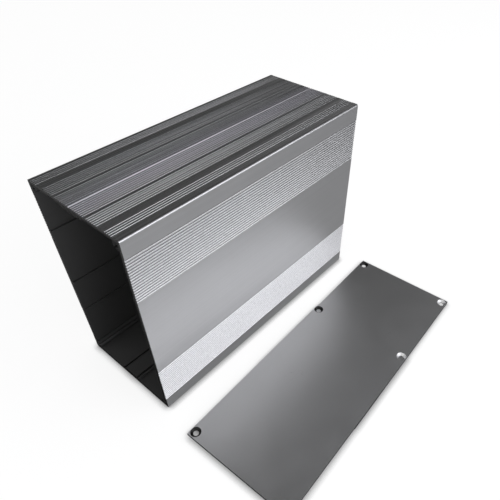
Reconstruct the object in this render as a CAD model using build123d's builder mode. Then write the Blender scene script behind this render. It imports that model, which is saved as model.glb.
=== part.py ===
from build123d import *
import os

os.makedirs("parts", exist_ok=True)

# An extruded aluminium project box, in millimetres. The box is two equal half shells, one turned
# end over end, that meet in a tongue and groove joint along the middle of the narrow sides.
# X runs along the extrusion, Y through the depth and Z up. The origin is the centre of the left
# open end, on the axis of the extrusion.

# The box
length = 200.0
depth = 82.0
height = 145.0
wide_wall = 2.4
side_wall = 2.4
corner_radius = 1.2

# The joint between the half shells
seam_offset = 1.2
joint_pad_length = 5.9
joint_pad_height = 1.8
tongue_depth_in_wall = 2.4
tongue_thickness = 1.2
tongue_length = 1.8
joint_side_clearance = 0.1
joint_end_clearance = 0.2
seam_chamfer = 0.6

# The board slot beside the joint, and the low ribs inside the wide wall
board_slot_width = 1.8
slot_rib_width = 1.2
wall_rib_width = 1.2
wall_rib_height = 1.2
wall_rib_places = (-37.5, 5.0, 31.5)

# The outer ribs are what is left between grooves with slanted flanks
groove_flank_angle = 45
wide_groove_width = 1.2
wide_groove_depth = 0.5
wide_groove_pitch = 1.8
wide_groove_count = 17
wide_strip_at_long_leg = 12.3
wide_strip_at_short_leg = 10.9
side_groove_width = 0.7
side_groove_depth = 0.25
side_groove_pitch = 1.73
side_strip_at_corner = 2.5
# The three groups of narrow-side grooves: each first groove's distance from the seam, and its count
side_groove_starts = (2.2, 15.6, 31.0)
side_groove_counts = (7, 6, 4)

# The corner channels, and the panel holes for self-tapping end screws
screw_radius = 1.75
screw_head_radius = 3.5
thread_bite = 0.2
channel_wall = 1.3
channel_mouth = 1.0
screw_from_wide_side = 3.5
screw_from_narrow_side = 4.2

# The end panels
panel_thickness = 2.0
panel_hole_clearance = 0.15
countersink_clearance = 0.1
countersink_angle = 90

# The two end panels lie in front of the box, the left one partly on the right one
panel_gap = 21.2
right_panel_past_end = 12.1
panel_lap = 73.3
left_panel_slip = 2.4
right_panel_turn = 1.86
left_panel_turn = 1.62

channel_radius = screw_radius - thread_bite
screw_spacing_y = depth - 2 * screw_from_wide_side
screw_spacing_z = height - 2 * screw_from_narrow_side


def cut_grooves(places, width, groove_depth, rotation):
    """Cut a groove at each place, with its mouth towards the rotated +Y side."""
    with Locations(*places):
        Trapezoid(width, groove_depth, groove_flank_angle, rotation=rotation + 180,
                  align=(Align.CENTER, Align.MIN), mode=Mode.SUBTRACT)


def half_shell(section_plane):
    """One extruded half: a wide wall, a long leg with the groove and a short leg with the tongue."""
    face = -depth / 2
    legs = ((1, depth / 2 + seam_offset), (-1, depth / 2 - seam_offset))
    channels = [(face + screw_from_wide_side, side * (height / 2 - screw_from_narrow_side))
                for side, reach in legs]
    with BuildPart() as shell:
        with BuildSketch(section_plane) as section:
            with Locations((face, 0)):
                Rectangle(wide_wall, height, align=(Align.MIN, Align.CENTER))
            for side, reach in legs:
                edge = side * height / 2
                inner = side * (height / 2 - side_wall)
                seam = face + reach
                outward = Align.MAX if side > 0 else Align.MIN
                with Locations((face, edge)):
                    Rectangle(reach, side_wall, align=(Align.MIN, outward))
                with Locations((seam, inner)):
                    Rectangle(joint_pad_length, 2 * joint_pad_height, align=(Align.MAX, Align.CENTER))
                with Locations((seam - joint_pad_length - board_slot_width, inner)):
                    Rectangle(slot_rib_width, 2 * joint_pad_height, align=(Align.MAX, Align.CENTER))
                with Locations((face, edge)):
                    Rectangle(screw_from_wide_side, screw_from_narrow_side,
                              align=(Align.MIN, outward))
            with Locations(*channels):
                Circle(channel_radius + channel_wall)
            for place in wall_rib_places:
                with Locations((face + wide_wall, place)):
                    Rectangle(2 * wall_rib_height, wall_rib_width)
            fillet(section.vertices().group_by(Axis.X)[0], corner_radius)
            for side, reach in legs:
                edge = side * height / 2
                seam = face + reach
                with BuildLine():
                    Polyline((seam, edge), (seam - seam_chamfer, edge),
                             (seam, edge - side * seam_chamfer), close=True)
                make_face(mode=Mode.SUBTRACT)
                from_seam = [start + number * side_groove_pitch
                             for start, count in zip(side_groove_starts, side_groove_counts)
                             for number in range(count)]
                cut_grooves([(seam - distance, edge) for distance in from_seam
                             if distance < reach - side_strip_at_corner],
                            side_groove_width, side_groove_depth, 0 if side > 0 else 180)
            steps = [number * wide_groove_pitch for number in range(wide_groove_count)]
            for first, way in ((height / 2 - wide_strip_at_long_leg, -1),
                               (-height / 2 + wide_strip_at_short_leg, 1)):
                cut_grooves([(face, first + way * step) for step in steps],
                            wide_groove_width, wide_groove_depth, 90)
            long_seam = face + legs[0][1]
            short_seam = face + legs[1][1]
            with Locations((short_seam, -height / 2 + tongue_depth_in_wall)):
                Rectangle(tongue_length, tongue_thickness, align=(Align.MIN, Align.CENTER))
            with Locations((long_seam, height / 2 - tongue_depth_in_wall)):
                Rectangle(tongue_length + joint_end_clearance,
                          tongue_thickness + 2 * joint_side_clearance,
                          align=(Align.MAX, Align.CENTER), mode=Mode.SUBTRACT)
            for channel, inward_turn in zip(channels, (-45, 45)):
                with Locations(channel):
                    Circle(channel_radius, mode=Mode.SUBTRACT)
                    Rectangle(2 * (channel_radius + channel_wall), channel_mouth,
                              rotation=inward_turn, align=(Align.MIN, Align.CENTER),
                              mode=Mode.SUBTRACT)
        extrude(amount=length)
    return shell.part


def end_panel(centre_x, centre_y, underside, turn):
    """A flat end panel that lies flat, with a countersunk screw hole near each corner."""
    pose = Plane(origin=(centre_x, centre_y, underside)).rotated((0, 0, turn))
    with BuildPart() as panel:
        with BuildSketch(pose):
            Rectangle(height, depth)
        extrude(amount=panel_thickness)
        with Locations(pose.offset(panel_thickness)):
            with GridLocations(screw_spacing_z, screw_spacing_y, 2, 2):
                CounterSinkHole(radius=screw_radius + panel_hole_clearance,
                                counter_sink_radius=screw_head_radius + countersink_clearance,
                                counter_sink_angle=countersink_angle)
    return panel.part


def save(part, name):
    part.label = name
    export_step(part, f"parts/{name}.step")


# The half shells
front_section = Plane.YZ
rear_section = Plane(origin=(0, 0, 0), x_dir=(0, -1, 0), z_dir=(1, 0, 0))
save(half_shell(front_section), "front_shell")
save(half_shell(rear_section), "rear_shell")

# The end panels
floor = -height / 2
panel_y = -depth / 2 - panel_gap - depth / 2
right_panel_x = length + right_panel_past_end - height / 2
save(end_panel(right_panel_x, panel_y, floor, right_panel_turn), "end_panel_right")
save(end_panel(right_panel_x - height + panel_lap, panel_y - left_panel_slip,
               floor + panel_thickness, left_panel_turn), "end_panel_left")
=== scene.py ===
"""The looks of an extruded aluminium project box: its finishes, floor, studio light and camera."""

import math

import bmesh
import bpy
from mathutils import Matrix, Vector


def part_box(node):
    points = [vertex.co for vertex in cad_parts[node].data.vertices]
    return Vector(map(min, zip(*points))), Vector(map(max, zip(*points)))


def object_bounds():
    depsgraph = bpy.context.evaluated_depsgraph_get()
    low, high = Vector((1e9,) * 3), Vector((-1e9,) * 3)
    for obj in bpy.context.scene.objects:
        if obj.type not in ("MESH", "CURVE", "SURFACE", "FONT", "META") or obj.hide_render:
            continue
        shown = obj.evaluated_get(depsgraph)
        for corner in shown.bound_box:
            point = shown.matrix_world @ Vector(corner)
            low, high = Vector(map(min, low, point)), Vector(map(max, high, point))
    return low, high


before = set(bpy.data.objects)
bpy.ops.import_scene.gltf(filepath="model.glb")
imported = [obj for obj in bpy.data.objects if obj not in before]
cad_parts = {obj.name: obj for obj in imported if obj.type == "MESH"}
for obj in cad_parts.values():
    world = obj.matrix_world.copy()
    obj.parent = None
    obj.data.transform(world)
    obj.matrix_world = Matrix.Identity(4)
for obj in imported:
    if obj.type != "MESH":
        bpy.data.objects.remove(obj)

CAD_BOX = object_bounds()

bl_info = {
    "name": "Aluminium project box",
    "version": (1, 0, 0),
    "blender": (4, 5, 0),
    "location": "View3D > Sidebar > Project box",
    "description": "Finishes an extruded aluminium box, and sets its floor, light and camera",
    "category": "Object",
}

SHELLS = ("front_shell", "rear_shell")
PANELS = ("end_panel_left", "end_panel_right")

MM = 0.001

# The box, from the frame. The seam lies a little behind the middle on top, and in front of it
# underneath.
BOX_LENGTH, HALF_DEPTH, HALF_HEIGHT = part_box("rear_shell")[1]
SEAM_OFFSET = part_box("front_shell")[1][1]

# The Y between the end panels' two rows of holes
PANEL_MIDDLE = sum(corner[1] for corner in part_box("end_panel_right")) / 2

# A face is square on to an axis, or at least slanted to it, where its normal's part along that
# axis is over this
SQUARE_ON = 0.9
SLANTED = 0.5

# Depths under the shells' outer faces: the round corners, the inside, and where the painted shade
# in the grooves starts and is full
CORNER_DEPTH = 0.7 * MM
INSIDE_DEPTH = 1.5 * MM
WIDE_GROOVE_SHADE = (0.36 * MM, 0.48 * MM)
SIDE_GROOVE_SHADE = (0.18 * MM, 0.24 * MM)

# Distances along the shells' faces: the plain edges without painted groove shade, the open line of
# the seam, and the violet tint before the seam, with the distances from its middle over which it
# fades
WIDE_SIDE_EDGE = 5 * MM
NARROW_SIDE_EDGE = 3 * MM
SEAM_LINE = 0.8 * MM
TINT_BEFORE_SEAM = 3 * MM
TINT_FADE = (3 * MM, 14 * MM)
SEAM_TINT = (1.0, 0.98, 1.05)

# The darkest and lightest tone of each finish, as shares of its colour
SKIN_TONES = (0.2, 1.34)
SAWN_TONES = (0.6, 1.5)
SHEET_TONES = (0.88, 1.12)

# The shells' shade between their darkest tone, 0, and their lightest, 1, and what changes it
SKIN_SHADE = 0.7
# Painted shade on the wide sides
WIDE_SIDE_PAINTED_SHADE = 0.1
# Painted shade on the short legs
SHORT_LEG_PAINTED_SHADE = 0.04
# Painted highlight on the long legs' groove flanks
LONG_LEG_FLANK_HIGHLIGHT = 0.45
# Painted highlight along the seam line
SEAM_HIGHLIGHT = 0.4
# The die lines are real marks; their off-centre middle also darkens the narrow sides' flats, which
# is painted shade
DIE_LINE_MIDDLE = 0.55
DIE_LINE_CONTRAST = 2.6

# What changes the shells' roughness
INSIDE_ROUGHER = 0.15
SAWN_ROUGHER = 0.2
FLANK_SMOOTHER = 0.07

# The panels' shade in the same way, and their scratches: how wide they are and where they show, as
# levels of the noise that draws them
SHEET_SHADE = 0.5
SCRATCH_DARKER = 0.5
SCRATCH_WIDTH = 0.004
SCRATCHED_PLACES = (0.58, 0.66)

# The floor: how far it lies under the box, how dark its painted shade makes it far to the right,
# and the stretches of X and Y over which it changes
FLOOR_GAP = 0.05 * MM
FAR_FLOOR_SHARE = 0.65
FLOOR_FAR_RIGHT = (BOX_LENGTH, 3 * BOX_LENGTH)
FLOOR_AT_LEFT = (-0.5 * BOX_LENGTH, -0.1 * BOX_LENGTH)
FLOOR_BEHIND = (0.5 * HALF_DEPTH, 2 * HALF_DEPTH)

# The floor as the camera sees it: a glow, a part that takes the lamps' shadow, and a contact shadow
FLOOR_GLOW = 0.84
SHADOW_PART = 0.22
CONTACT_REACH = 5 * MM
CONTACT_STRENGTH = 1.8

# The room round the box: how bright metal mirrors it, also far to the right, how bright it lights
# everything else, and the parts of a unit direction over which it changes
ROOM_LEVEL = 0.035
RIGHT_ROOM_LEVEL = 0.08
FILL_LEVEL = 0.6
ROOM_FAR_RIGHT = (0.55, 0.85)
ROOM_AT_LEFT = (-0.6, -0.2)
ROOM_BEHIND = (0.1, 0.6)
ROOM_RISE = (0.0, 0.25)

# The lamps' distance from the middle of the box, and their slightly cool colour
LAMP_DISTANCE = 0.9
LAMP_COLOUR = (0.975, 0.985, 1.03)

# The camera, solved from the photograph's straight edges
SENSOR_WIDTH = 36.0
CAMERA_PLACE = (-0.08096, -0.20671, 0.21222)
CAMERA_RIGHT = (0.638257, -0.769643, 0.016648)
CAMERA_UP = (0.528161, 0.453527, 0.717885)
CAMERA_BACK = (-0.560066, -0.449403, 0.695963)
CAMERA_SHIFT = (-0.0755, 0.0601)


class Value:
    """A shader value that takes part in Python expressions."""

    def __init__(self, shader, socket):
        self.shader = shader
        self.socket = socket

    def __add__(self, other):
        return self.shader.math("ADD", self, other)

    def __radd__(self, other):
        return self.shader.math("ADD", other, self)

    def __sub__(self, other):
        return self.shader.math("SUBTRACT", self, other)

    def __rsub__(self, other):
        return self.shader.math("SUBTRACT", other, self)

    def __mul__(self, other):
        return self.shader.math("MULTIPLY", self, other)

    def __rmul__(self, other):
        return self.shader.math("MULTIPLY", other, self)

    def __lt__(self, other):
        return self.shader.math("LESS_THAN", self, other)

    def __gt__(self, other):
        return self.shader.math("GREATER_THAN", self, other)

    def __abs__(self):
        return self.shader.math("ABSOLUTE", self)

    def sign(self):
        return self.shader.math("SIGN", self)

    def maximum(self, other):
        return self.shader.math("MAXIMUM", self, other)

    def power(self, other):
        return self.shader.math("POWER", self, other)

    def swing(self, amount):
        """Noise from 0 to 1, made to swing about 0 by this much in all."""
        return (self - 0.5) * amount

    def ramp(self, low, high):
        """0 below low, 1 above high, and smooth between them."""
        return self.shader.add("ShaderNodeMapRange",
                               {"interpolation_type": "SMOOTHSTEP", "clamp": True},
                               {"Value": self, "From Min": low, "From Max": high})


class Shader:
    """Builds a node tree from expressions."""

    def __init__(self, tree):
        self.tree = tree
        tree.nodes.clear()

    def node(self, kind, settings=None, inputs=None):
        """Adds a node: its settings first, then the values or links of its sockets."""
        node = self.tree.nodes.new(kind)
        for name, setting in (settings or {}).items():
            setattr(node, name, setting)
        for name, value in (inputs or {}).items():
            if isinstance(value, Value):
                self.tree.links.new(value.socket, node.inputs[name])
            else:
                node.inputs[name].default_value = value
        return node

    def add(self, kind, settings=None, inputs=None, output=0):
        """Adds a node, and gives what comes out of one of its outputs."""
        return Value(self, self.node(kind, settings, inputs).outputs[output])

    def math(self, operation, *terms):
        return self.add("ShaderNodeMath", {"operation": operation}, dict(enumerate(terms)))

    def mix(self, factor, first, second):
        """A colour between two others.

        The Mix node uses each socket's name more than once, so its colour sockets go by number.
        """
        return self.add("ShaderNodeMix", {"data_type": "RGBA"},
                        {0: factor, 6: first, 7: second}, output=2)

    def axes(self, coordinates):
        """The X, Y and Z parts of the Object, Normal or Generated coordinates."""
        place = self.add("ShaderNodeTexCoord", output=coordinates)
        parts = self.node("ShaderNodeSeparateXYZ", {}, {"Vector": place})
        return [Value(self, socket) for socket in parts.outputs]

    def noise(self, scale, stretch=(1, 1, 1), detail=2.0, roughness=0.5, turn=(0, 0, 0)):
        """Noise from 0 to 1 over the piece, with so many features to a metre."""
        place = self.add("ShaderNodeTexCoord", output="Object")
        place = self.add("ShaderNodeMapping", {},
                         {"Vector": place, "Scale": stretch, "Rotation": turn})
        return self.add("ShaderNodeTexNoise", {}, {"Vector": place, "Scale": scale,
                                                   "Detail": detail, "Roughness": roughness})

    def rays(self):
        """Three masks: 1 for rays from the camera, off a glossy surface and through glass."""
        path = self.node("ShaderNodeLightPath")
        return [Value(self, path.outputs[kind])
                for kind in ("Is Camera Ray", "Is Glossy Ray", "Is Transmission Ray")]

    def metal(self, colour, roughness, relief, strength, depth):
        """Makes the surface a metal, with a bump of this strength and depth from its relief."""
        bump = self.add("ShaderNodeBump", {},
                        {"Height": relief, "Strength": strength, "Distance": depth})
        self.surface(self.add("ShaderNodeBsdfPrincipled", {}, {
            "Base Color": colour, "Metallic": 1.0, "Roughness": roughness, "Normal": bump}))

    def surface(self, finish, target="ShaderNodeOutputMaterial"):
        self.node(target, {}, {"Surface": finish})


def grey(level):
    return (level, level, level, 1.0)


WHITE = grey(1.0)


def tones(colour, shares, tint=(1.0, 1.0, 1.0)):
    """The darkest and the lightest tone of a colour, for a mix by shade."""
    return [(*(share * part * hue for part, hue in zip(colour, tint)), 1.0) for share in shares]


def new_material(name):
    material = bpy.data.materials.new(name)
    material.use_nodes = True
    return material, Shader(material.node_tree)


def give(node_names, material):
    """Puts a material in every slot of these CAD nodes."""
    for name in node_names:
        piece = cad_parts[name]
        if not piece.material_slots:
            piece.data.materials.append(material)
        for slot in piece.material_slots:
            slot.material = material


def extruded_aluminium(look):
    """Satin anodised extrusion with die lines along X, sawn ends, a rougher inside, painted shade
    and highlights.
    """
    material, shader = new_material("extruded_aluminium")
    _, y, z = shader.axes("Object")
    facing_x, facing_y, facing_z = (abs(part) for part in shader.axes("Normal"))

    # The parts of the section
    sawn = facing_x > SQUARE_ON
    wide_side = facing_y > SQUARE_ON
    narrow_side = (facing_z > SLANTED) * (abs(y) < HALF_DEPTH - CORNER_DEPTH)
    flank = (facing_y > SLANTED) * (facing_z > SLANTED)
    inside = (abs(y) < HALF_DEPTH - INSIDE_DEPTH) * (abs(z) < HALF_HEIGHT - INSIDE_DEPTH)
    past_seam = y * z.sign() - SEAM_OFFSET
    short_leg = past_seam > 0.0
    beside_seam = abs(past_seam) > SEAM_LINE
    # Painted shade in the bottoms of the outer grooves
    in_wide_groove = ((HALF_DEPTH - abs(y)).ramp(*WIDE_GROOVE_SHADE)
                      * (abs(z) < HALF_HEIGHT - WIDE_SIDE_EDGE))
    in_side_groove = ((HALF_HEIGHT - abs(z)).ramp(*SIDE_GROOVE_SHADE)
                      * (abs(y) < HALF_DEPTH - NARROW_SIDE_EDGE) * beside_seam)
    groove_shade = in_wide_groove.maximum(in_side_groove) * (1.0 - inside)
    tinted = narrow_side * (1.0 - abs(past_seam + TINT_BEFORE_SEAM).ramp(*TINT_FADE))

    # The patterns of the finish
    fine_lines = shader.noise(2600, stretch=(0.0015, 1, 1), detail=3, roughness=0.65)
    broad_lines = shader.noise(420, stretch=(0.004, 1, 1), detail=2)
    die_lines = shader.noise(690, stretch=(0.002, 1, 1), detail=4, roughness=0.9)
    speckle = shader.noise(5200, stretch=(0.35, 1, 1), detail=2, roughness=0.7)
    # The sparkle makes painted glints on the groove flanks
    sparkle = shader.noise(1300, stretch=(0.7, 1, 1), detail=2, roughness=0.7)
    clouds = shader.noise(22, detail=3)
    saw_marks = shader.noise(900, stretch=(1, 0.06, 1), detail=3, turn=(0.5, 0, 0))

    # The narrow sides have strong die lines, painted shade on their flats and short legs, and
    # painted highlights on their long legs' groove flanks
    side_lines = (die_lines - DIE_LINE_MIDDLE - short_leg * SHORT_LEG_PAINTED_SHADE) * DIE_LINE_CONTRAST
    flank_highlight = flank * (1.0 - short_leg) * LONG_LEG_FLANK_HIGHLIGHT
    # Painted shade on the wide sides, painted glints on the groove flanks and a painted highlight
    # on the seam line
    shade = (SKIN_SHADE - wide_side * WIDE_SIDE_PAINTED_SHADE
             + fine_lines.swing(0.1) + broad_lines.swing(0.06) + clouds.swing(0.05)
             + flank * sparkle.swing(0.75)
             + narrow_side * beside_seam * (side_lines + flank_highlight)
             + (1.0 - beside_seam) * SEAM_HIGHLIGHT)

    skin = shader.mix(tinted, shader.mix(shade, *tones(look.shell_colour, SKIN_TONES)),
                      shader.mix(shade, *tones(look.shell_colour, SKIN_TONES, SEAM_TINT)))
    # Painted shade: the groove bottoms are set to a dark grey
    skin = shader.mix(groove_shade, skin, grey(look.groove_level))
    # Painted shade: the inside walls are set to a dark grey
    skin = shader.mix(inside, skin, grey(look.inside_level))
    # Painted shade: the sawn ends are near black, over real saw marks
    sawn_end = shader.mix(saw_marks, *(grey(look.sawn_level * share) for share in SAWN_TONES))
    rough = (look.shell_roughness + speckle.swing(0.16) + clouds.swing(0.05)
             + inside * INSIDE_ROUGHER + sawn * SAWN_ROUGHER
             - narrow_side * flank * FLANK_SMOOTHER)
    shader.metal(shader.mix(sawn, skin, sawn_end), rough,
                 relief=fine_lines * 0.7 + speckle * 0.3, strength=0.35, depth=0.02 * MM)
    return material


def sheet_aluminium(look):
    """Satin anodised sheet: a soft even grain, light handling marks, and painted shade on cut edges
    and rear countersinks.
    """
    material, shader = new_material("sheet_aluminium")
    y = shader.axes("Object")[1]
    facing_z = abs(shader.axes("Normal")[2])
    grain = shader.noise(4200, stretch=(0.2, 1, 1), detail=3, roughness=0.65)
    clouds = shader.noise(14, detail=3)
    smudges = shader.noise(60, detail=4, roughness=0.6)
    scratch_field = shader.noise(55, stretch=(0.25, 3.0, 1), detail=1, turn=(0, 0, 0.7))
    scratches = 1.0 - abs(scratch_field - 0.5).ramp(0.0, SCRATCH_WIDTH)
    scratched = smudges.ramp(*SCRATCHED_PLACES)
    shade = (SHEET_SHADE + grain.swing(0.28) + clouds.swing(0.2)
             - scratches * scratched * SCRATCH_DARKER)

    # The rear row of countersinks is near black like the cut edges, painted shade; the front row is
    # lighter
    edge = grey(look.panel_edge_level)
    countersinks = shader.mix(y > PANEL_MIDDLE, grey(look.countersink_level), edge)
    colour = shader.mix(shade, *tones(look.panel_colour, SHEET_TONES))
    # The countersinks, then the cut edges and bores, take these greys; the near black ones are
    # painted shade
    colour = shader.mix(facing_z < SQUARE_ON, colour, countersinks)
    colour = shader.mix(facing_z < SLANTED, colour, edge)
    rough = look.panel_roughness + grain.swing(0.1) + smudges.swing(0.08)
    shader.metal(colour, rough, relief=grain, strength=0.25, depth=0.01 * MM)
    return material


def floor_material(level):
    """A pale floor that the camera sees as white with a faint shadow.

    The metal shows that white floor too behind the box and at its left. In front and at the right
    it shows the floor as lit, darker far to the right, as the box's front does in the photograph.
    """
    material, shader = new_material("pale_floor")
    x, y, _ = shader.axes("Object")
    camera_ray, glossy_ray, transmission_ray = shader.rays()
    # Painted shade: the lit floor that metal mirrors is darker far to the right
    lit = shader.add("ShaderNodeBsdfDiffuse", {}, {"Color": shader.mix(
        x.ramp(*FLOOR_FAR_RIGHT), grey(level), grey(FAR_FLOOR_SHARE * level))})
    shadowed = shader.add("ShaderNodeBsdfDiffuse", {}, {"Color": grey(SHADOW_PART)})
    openness = shader.add("ShaderNodeAmbientOcclusion", {"samples": 8},
                          {"Distance": CONTACT_REACH}, output="AO")
    glow = shader.add("ShaderNodeEmission", {}, {
        "Color": WHITE, "Strength": openness.power(CONTACT_STRENGTH) * FLOOR_GLOW})
    seen = shader.add("ShaderNodeAddShader", {}, {0: shadowed, 1: glow})
    beside = y.ramp(*FLOOR_BEHIND).maximum(1.0 - x.ramp(*FLOOR_AT_LEFT))
    shows_white = camera_ray.maximum(transmission_ray).maximum(glossy_ray * beside)
    shader.surface(shader.add("ShaderNodeMixShader", {}, {"Fac": shows_white, 1: lit, 2: seen}))
    return material


def make_floor(size, level):
    mesh = bmesh.new()
    bmesh.ops.create_grid(mesh, x_segments=1, y_segments=1, size=size / 2,
                          matrix=Matrix.Translation((0, 0, CAD_BOX[0][2] - FLOOR_GAP)))
    data = bpy.data.meshes.new("floor")
    mesh.to_mesh(data)
    mesh.free()
    data.materials.append(floor_material(level))
    floor = bpy.data.objects.new("floor", data)
    bpy.context.scene.collection.objects.link(floor)


def soft_lamp(name, azimuth, elevation, spread, level):
    """An area lamp that faces the middle of the box.

    Angles are in degrees, with azimuth 0 in front and 90 at the right. The spread is how wide and
    how high the lamp looks from the box.
    """
    turn, rise = math.radians(azimuth), math.radians(elevation)
    away = Vector((math.cos(rise) * math.sin(turn), -math.cos(rise) * math.cos(turn),
                   math.sin(rise)))
    width, height = (2 * LAMP_DISTANCE * math.tan(math.radians(angle) / 2) for angle in spread)
    lamp = bpy.data.lights.new(name, "AREA")
    lamp.shape = "RECTANGLE"
    lamp.size, lamp.size_y = width, height
    lamp.energy = level * math.pi * width * height
    lamp.color = LAMP_COLOUR
    holder = bpy.data.objects.new(name, lamp)
    holder.location = Vector((BOX_LENGTH / 2, 0, 0)) + away * LAMP_DISTANCE
    holder.rotation_euler = away.to_track_quat("Z", "Y").to_euler()
    bpy.context.scene.collection.objects.link(holder)


def studio_world():
    """A white backdrop and a soft fill light, with a dark room that only metal mirrors.

    The metal shows the white backdrop too at the left and low behind the box. Elsewhere it shows
    the room, a little lighter far to the right, as the box does in the photograph.
    """
    world = bpy.data.worlds.new("studio")
    world.use_nodes = True
    shader = Shader(world.node_tree)
    camera_ray, glossy_ray, transmission_ray = shader.rays()
    to_right, to_back, height = shader.axes("Generated")
    room = shader.mix(to_right.ramp(*ROOM_FAR_RIGHT), grey(ROOM_LEVEL), grey(RIGHT_ROOM_LEVEL))
    low_behind = to_back.ramp(*ROOM_BEHIND) * (1.0 - height.ramp(*ROOM_RISE))
    at_left = 1.0 - to_right.ramp(*ROOM_AT_LEFT)
    room = shader.mix(low_behind.maximum(at_left), room, WHITE)
    lit = shader.mix(glossy_ray, grey(FILL_LEVEL), room)
    seen = shader.mix(camera_ray.maximum(transmission_ray), lit, WHITE)
    shader.surface(shader.add("ShaderNodeBackground", {}, {"Color": seen, "Strength": 1.0}),
                   target="ShaderNodeOutputWorld")
    return world


class BoxLook(bpy.types.PropertyGroup):
    """Colours and finishes of the box's pieces."""
    shell_colour: bpy.props.FloatVectorProperty(
        name="Shell colour", description="Colour of the anodised half shells",
        subtype="COLOR", size=3, min=0.0, max=1.0, default=(0.72, 0.72, 0.725))
    shell_roughness: bpy.props.FloatProperty(
        name="Shell roughness", description="Roughness of the anodised half shells",
        subtype="FACTOR", min=0.0, max=1.0, default=0.4)
    inside_level: bpy.props.FloatProperty(
        name="Inside brightness", description="Brightness of the shells' inside walls",
        subtype="FACTOR", min=0.0, max=1.0, default=0.18)
    sawn_level: bpy.props.FloatProperty(
        name="Sawn end brightness", description="Brightness of the sawn end faces",
        subtype="FACTOR", min=0.0, max=1.0, default=0.012)
    groove_level: bpy.props.FloatProperty(
        name="Groove brightness", description="Brightness of the bottoms of the outer grooves",
        subtype="FACTOR", min=0.0, max=1.0, default=0.12)
    panel_colour: bpy.props.FloatVectorProperty(
        name="Panel colour", description="Colour of the anodised end panels",
        subtype="COLOR", size=3, min=0.0, max=1.0, default=(0.82, 0.82, 0.82))
    panel_roughness: bpy.props.FloatProperty(
        name="Panel roughness", description="Roughness of the end panels",
        subtype="FACTOR", min=0.0, max=1.0, default=0.4)
    panel_edge_level: bpy.props.FloatProperty(
        name="Panel edge brightness", description="Brightness of the panels' cut edges",
        subtype="FACTOR", min=0.0, max=1.0, default=0.03)
    countersink_level: bpy.props.FloatProperty(
        name="Countersink brightness", description="Brightness of the clean countersinks",
        subtype="FACTOR", min=0.0, max=1.0, default=0.7)


class StudioSettings(bpy.types.PropertyGroup):
    """The floor, the lamps and the camera."""
    floor_size: bpy.props.FloatProperty(
        name="Floor size", description="Side of the square floor",
        unit="LENGTH", min=1.0, default=12.0)
    floor_level: bpy.props.FloatProperty(
        name="Floor brightness", description="Brightness of the floor under the lamps",
        subtype="FACTOR", min=0.0, max=1.0, default=0.35)
    key_level: bpy.props.FloatProperty(
        name="Key light", description="Brightness of the soft light in front of the box",
        min=0.0, default=2.0)
    top_level: bpy.props.FloatProperty(
        name="Top light", description="Brightness of the soft light above the box",
        min=0.0, default=0.98)
    lens: bpy.props.FloatProperty(
        name="Focal length", description="Focal length of the camera on a 36 mm sensor",
        unit="CAMERA", min=1.0, default=33.77)


class SetCamera(bpy.types.Operator):
    """Place the camera at the photograph's angle"""
    bl_idname = "project_box.set_camera"
    bl_label = "Set camera"

    def execute(self, context):
        camera = bpy.data.cameras.new("photo_camera")
        camera.sensor_width = SENSOR_WIDTH
        camera.lens = context.scene.studio.lens
        camera.shift_x, camera.shift_y = CAMERA_SHIFT
        camera.clip_start = 10 * MM
        axes = Matrix((CAMERA_RIGHT, CAMERA_UP, CAMERA_BACK)).transposed()
        holder = bpy.data.objects.new("photo_camera", camera)
        holder.matrix_world = Matrix.Translation(CAMERA_PLACE) @ axes.to_4x4()
        context.scene.collection.objects.link(holder)
        context.scene.camera = holder
        return {"FINISHED"}


class FinishShells(bpy.types.Operator):
    """Give the two half shells their extruded, anodised finish"""
    bl_idname = "project_box.finish_shells"
    bl_label = "Finish half shells"

    def execute(self, context):
        give(SHELLS, extruded_aluminium(context.scene.box_look))
        return {"FINISHED"}


class FinishPanels(bpy.types.Operator):
    """Give the two end panels their satin sheet finish"""
    bl_idname = "project_box.finish_panels"
    bl_label = "Finish end panels"

    def execute(self, context):
        give(PANELS, sheet_aluminium(context.scene.box_look))
        return {"FINISHED"}


class SetStage(bpy.types.Operator):
    """Set the floor, the backdrop and the soft studio light"""
    bl_idname = "project_box.set_stage"
    bl_label = "Set stage"

    def execute(self, context):
        studio = context.scene.studio
        make_floor(studio.floor_size, studio.floor_level)
        soft_lamp("key_light", azimuth=15, elevation=22, spread=(70, 37), level=studio.key_level)
        soft_lamp("top_light", azimuth=30, elevation=53, spread=(60, 10), level=studio.top_level)
        context.scene.world = studio_world()
        context.scene.view_settings.view_transform = "Standard"
        return {"FINISHED"}


class ProjectBoxPanel(bpy.types.Panel):
    """Lists the steps that finish the box and set its stage"""
    bl_idname = "VIEW3D_PT_project_box"
    bl_label = "Project box"
    bl_space_type = "VIEW_3D"
    bl_region_type = "UI"
    bl_category = "Project box"

    def draw(self, context):
        for group in (context.scene.box_look, context.scene.studio):
            for name in group.__annotations__:
                self.layout.prop(group, name)
        for step in STEPS:
            self.layout.operator(step.bl_idname)


STEPS = (SetCamera, FinishShells, FinishPanels, SetStage)
CLASSES = (BoxLook, StudioSettings, *STEPS, ProjectBoxPanel)


def register():
    for item in CLASSES:
        bpy.utils.register_class(item)
    bpy.types.Scene.box_look = bpy.props.PointerProperty(type=BoxLook)
    bpy.types.Scene.studio = bpy.props.PointerProperty(type=StudioSettings)


def unregister():
    del bpy.types.Scene.studio
    del bpy.types.Scene.box_look
    for item in reversed(CLASSES):
        bpy.utils.unregister_class(item)


def main():
    register()
    bpy.ops.project_box.set_camera()
    bpy.ops.project_box.finish_shells()
    bpy.ops.project_box.finish_panels()
    bpy.ops.project_box.set_stage()


if __name__ == "__main__":
    main()
